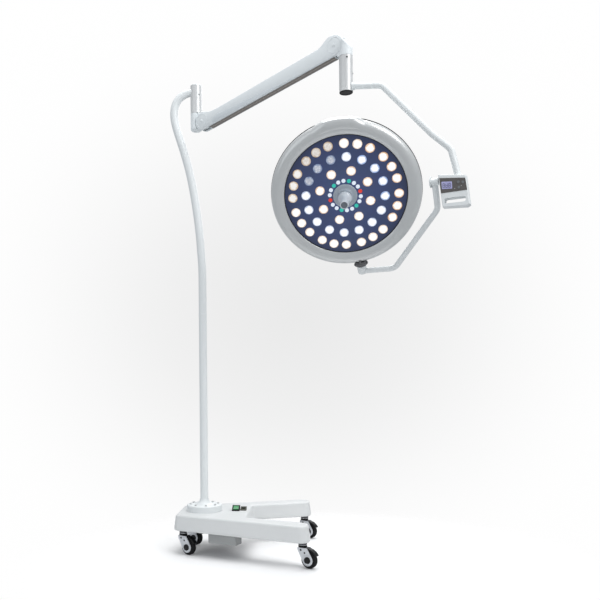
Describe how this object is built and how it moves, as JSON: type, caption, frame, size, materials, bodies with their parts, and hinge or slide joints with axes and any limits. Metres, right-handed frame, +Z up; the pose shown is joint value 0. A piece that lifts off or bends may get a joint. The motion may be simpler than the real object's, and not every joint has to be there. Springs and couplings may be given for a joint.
{
  "type": "mobile surgical light",
  "caption": "Mobile operating-room light: V-shaped castor base, bent pole, sprung swing arm, yoke with control box and a round multi-lens lamp head.",
  "frame": {"origin": "centre of the overall box in plan, at floor level", "axes": "+Z up; +X toward the open end of the V base (lamp side); -Y toward the side the lamp faces"},
  "size_m": [1.0778, 0.8981, 1.891],
  "materials": {
    "white_powder_coat": "satin",
    "base_shell_white": "gloss",
    "chassis_steel": "satin",
    "cast_weight": "raw",
    "black_plastic": "matte",
    "grey_plastic": "matte",
    "green_rocker": "gloss",
    "castor_shield": "satin",
    "tread": "matte",
    "steel_pin": "polished",
    "arm_underside": "matte",
    "sleeve_alloy": "satin",
    "ring_silver": "gloss",
    "seal_rubber": "matte",
    "panel_navy": "clear",
    "warm_lens": "clear",
    "cool_lens": "clear",
    "board_green": "matte",
    "sink_alloy": "brushed",
    "handle_grey": "satin"
  },
  "bodies": {
    "base": {"base_cover": "base_shell_white", "base_plate": "chassis_steel", "counterweight": "cast_weight", "battery_pack": "black_plastic", "adapter_box": "grey_plastic", "switch_bezel": "black_plastic", "charge_socket": "black_plastic", "pole_flange": "white_powder_coat", "flange_screws": "black_plastic", "lower_pole": "white_powder_coat", "pole_spigot": "steel_pin", "upper_pole": "white_powder_coat", "bearing_sleeve": "sleeve_alloy", "sleeve_cap": "white_powder_coat"},
    "power_switch": {"power_rocker": "green_rocker"},
    "castor_fr": {"castor_fork_fr": "castor_shield"},
    "wheel_fr": {"castor_wheel_fr": "tread"},
    "pedal_fr": {"brake_pedal_fr": "black_plastic"},
    "castor_rr": {"castor_fork_rr": "castor_shield"},
    "wheel_rr": {"castor_wheel_rr": "tread"},
    "pedal_rr": {"brake_pedal_rr": "black_plastic"},
    "castor_fl": {"castor_fork_fl": "castor_shield"},
    "wheel_fl": {"castor_wheel_fl": "tread"},
    "pedal_fl": {"brake_pedal_fl": "black_plastic"},
    "castor_rl": {"castor_fork_rl": "castor_shield"},
    "wheel_rl": {"castor_wheel_rl": "tread"},
    "pedal_rl": {"brake_pedal_rl": "black_plastic"},
    "arm_turret": {"arm_turret": "white_powder_coat"},
    "spring_arm": {"arm_shell_near": "white_powder_coat", "arm_shell_far": "white_powder_coat", "arm_bottom_cover": "arm_underside", "lift_spring": "cast_weight", "pivot_pins": "steel_pin"},
    "level_link": {"level_link": "steel_pin"},
    "outer_knuckle": {"outer_knuckle": "white_powder_coat"},
    "yoke": {"yoke_sleeve": "sleeve_alloy", "yoke_end_cap": "black_plastic", "yoke_tube": "white_powder_coat", "box_front": "white_powder_coat", "box_back": "white_powder_coat", "display_panel": "black_plastic", "tilt_spindle": "steel_pin"},
    "key_power": {"key_power": "grey_plastic"},
    "key_up": {"key_up": "grey_plastic"},
    "key_down": {"key_down": "grey_plastic"},
    "inner_arm": {"inner_arm_tube": "white_powder_coat", "tilt_cap": "white_powder_coat"},
    "lamp_head": {"front_ring": "ring_silver", "rim_seal": "seal_rubber", "rear_housing": "white_powder_coat", "rim_grip": "ring_silver", "light_panel": "panel_navy", "warm_lenses": "warm_lens", "cool_lenses": "cool_lens", "small_lenses": "cool_lens", "led_board": "board_green", "heat_sink": "sink_alloy", "head_pivot_boot": "grey_plastic", "handle_base": "handle_grey"},
    "handle": {"sterile_handle": "handle_grey"}
  },
  "joints": [
    {"name": "castor_swivel_fr", "type": "hinge", "parent": "base", "child": "castor_fr", "pos_m": [-0.00928, -0.11674, 0.09], "axis": [0, 0, 1], "continuous": true},
    {"name": "wheel_roll_fr", "type": "hinge", "parent": "castor_fr", "child": "wheel_fr", "pos_m": [0.01472, -0.13116, 0.031], "axis": [-0.515, -0.8572, 0], "continuous": true},
    {"name": "brake_pedal_fr", "type": "hinge", "parent": "castor_fr", "child": "pedal_fr", "pos_m": [0.00743, -0.12678, 0.069], "axis": [-0.515, -0.8572, 0], "range_deg": [0, 15]},
    {"name": "castor_swivel_rr", "type": "hinge", "parent": "base", "child": "castor_rr", "pos_m": [-0.00928, 0.39926, 0.09], "axis": [0, 0, 1], "continuous": true},
    {"name": "wheel_roll_rr", "type": "hinge", "parent": "castor_rr", "child": "wheel_rr", "pos_m": [0.01472, 0.38484, 0.031], "axis": [-0.515, -0.8572, 0], "continuous": true},
    {"name": "brake_pedal_rr", "type": "hinge", "parent": "castor_rr", "child": "pedal_rr", "pos_m": [0.00743, 0.38922, 0.069], "axis": [-0.515, -0.8572, 0], "range_deg": [0, 15]},
    {"name": "castor_swivel_fl", "type": "hinge", "parent": "base", "child": "castor_fl", "pos_m": [-0.48328, 0.05226, 0.09], "axis": [0, 0, 1], "continuous": true},
    {"name": "wheel_roll_fl", "type": "hinge", "parent": "castor_fl", "child": "wheel_fl", "pos_m": [-0.45928, 0.03784, 0.031], "axis": [-0.515, -0.8572, 0], "continuous": true},
    {"name": "brake_pedal_fl", "type": "hinge", "parent": "castor_fl", "child": "pedal_fl", "pos_m": [-0.46657, 0.04222, 0.069], "axis": [-0.515, -0.8572, 0], "range_deg": [0, 15]},
    {"name": "castor_swivel_rl", "type": "hinge", "parent": "base", "child": "castor_rl", "pos_m": [-0.48328, 0.23026, 0.09], "axis": [0, 0, 1], "continuous": true},
    {"name": "wheel_roll_rl", "type": "hinge", "parent": "castor_rl", "child": "wheel_rl", "pos_m": [-0.45928, 0.21584, 0.031], "axis": [-0.515, -0.8572, 0], "continuous": true},
    {"name": "brake_pedal_rl", "type": "hinge", "parent": "castor_rl", "child": "pedal_rl", "pos_m": [-0.46657, 0.22022, 0.069], "axis": [-0.515, -0.8572, 0], "range_deg": [0, 15]},
    {"name": "power_rocker", "type": "hinge", "parent": "base", "child": "power_switch", "pos_m": [-0.28198, 0.14554, 0.16629], "axis": [1, 0, 0], "range_deg": [-6, 6]},
    {"name": "arm_swivel", "type": "hinge", "parent": "base", "child": "arm_turret", "pos_m": [-0.43068, 0.14126, 1.83], "axis": [0, 0, 1], "range_deg": [-105, 175]},
    {"name": "arm_lift", "type": "hinge", "parent": "arm_turret", "child": "spring_arm", "pos_m": [-0.39217, 0.11294, 1.7325], "axis": [-0.5924, -0.8056, 0], "range_deg": [-45, 15]},
    {"name": "level_link", "type": "hinge", "parent": "arm_turret", "child": "level_link", "pos_m": [-0.39217, 0.11294, 1.7155], "axis": [-0.5924, -0.8056, 0], "range_deg": [-45, 15]},
    {"name": "knuckle_level", "type": "hinge", "parent": "spring_arm", "child": "outer_knuckle", "pos_m": [0.12533, -0.26762, 1.83758], "axis": [-0.5924, -0.8056, 0], "range_deg": [-15, 45]},
    {"name": "yoke_swivel", "type": "hinge", "parent": "outer_knuckle", "child": "yoke", "pos_m": [0.15452, -0.28914, 1.73], "axis": [0, 0, 1], "continuous": true},
    {"name": "inner_arm_tilt", "type": "hinge", "parent": "yoke", "child": "inner_arm", "pos_m": [0.43008, -0.39447, 1.3268], "axis": [0.9341, -0.357, 0], "range_deg": [-120, 120]},
    {"name": "head_turn", "type": "hinge", "parent": "inner_arm", "child": "lamp_head", "pos_m": [0.21179, -0.13931, 1.09122], "axis": [0.2009, 0.5257, -0.8266], "range_deg": [-170, 170]},
    {"name": "handle_turn", "type": "hinge", "parent": "lamp_head", "child": "handle", "pos_m": [0.14712, -0.3065, 1.30913], "axis": [-0.075, -0.8331, -0.5481], "range_deg": [-90, 90]},
    {"name": "key_power_press", "type": "slide", "parent": "yoke", "child": "key_power", "axis": [0.357, 0.9341, 0], "range_m": [0, 0.001]},
    {"name": "key_up_press", "type": "slide", "parent": "yoke", "child": "key_up", "axis": [0.357, 0.9341, 0], "range_m": [0, 0.001]},
    {"name": "key_down_press", "type": "slide", "parent": "yoke", "child": "key_down", "axis": [0.357, 0.9341, 0], "range_m": [0, 0.001]}
  ],
  "couplings": [
    {"joint": "knuckle_level", "follows": "arm_lift", "ratio": -1},
    {"joint": "level_link", "follows": "arm_lift", "ratio": 1}
  ]
}
